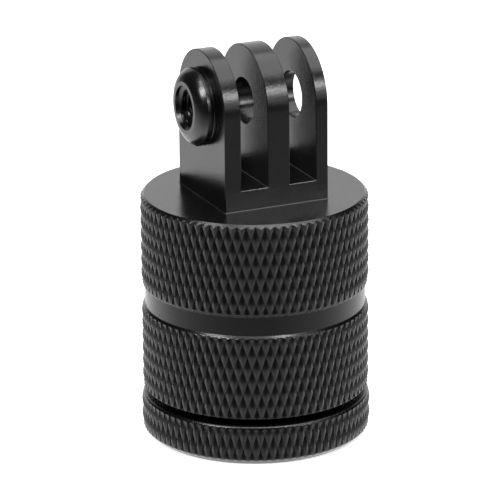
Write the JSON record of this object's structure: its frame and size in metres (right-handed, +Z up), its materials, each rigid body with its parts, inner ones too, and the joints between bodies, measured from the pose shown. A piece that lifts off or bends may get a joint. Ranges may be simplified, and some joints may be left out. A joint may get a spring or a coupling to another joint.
{
  "type": "camera mount",
  "caption": "Clevis mount for a small action camera on a knurled round body, with a threaded bush on the outer ear and a knurled lock ring below.",
  "frame": {"origin": "centre of the lock ring's foot, on the floor, on the axis of the knurled body", "axes": "+Z up along the body's axis; +X along the pivot bolt, away from the threaded bush; -Y is the front"},
  "size_m": [0.0258, 0.0258, 0.045],
  "materials": {
    "black_anodised": "bead blasted and black anodised",
    "black_anodised_ring": "knurled and black anodised",
    "black_bush": "turned and blackened"
  },
  "bodies": {
    "mount": {"mount_body": "black_anodised", "threaded_bush": "black_bush"},
    "ring": {"lock_ring": "black_anodised_ring"}
  },
  "joints": [
    {"name": "lock_ring_turn", "type": "hinge", "parent": "mount", "child": "ring", "pos_m": [0, 0, 0.0023], "axis": [0, 0, 1], "range_deg": [-720, 270]}
  ]
}
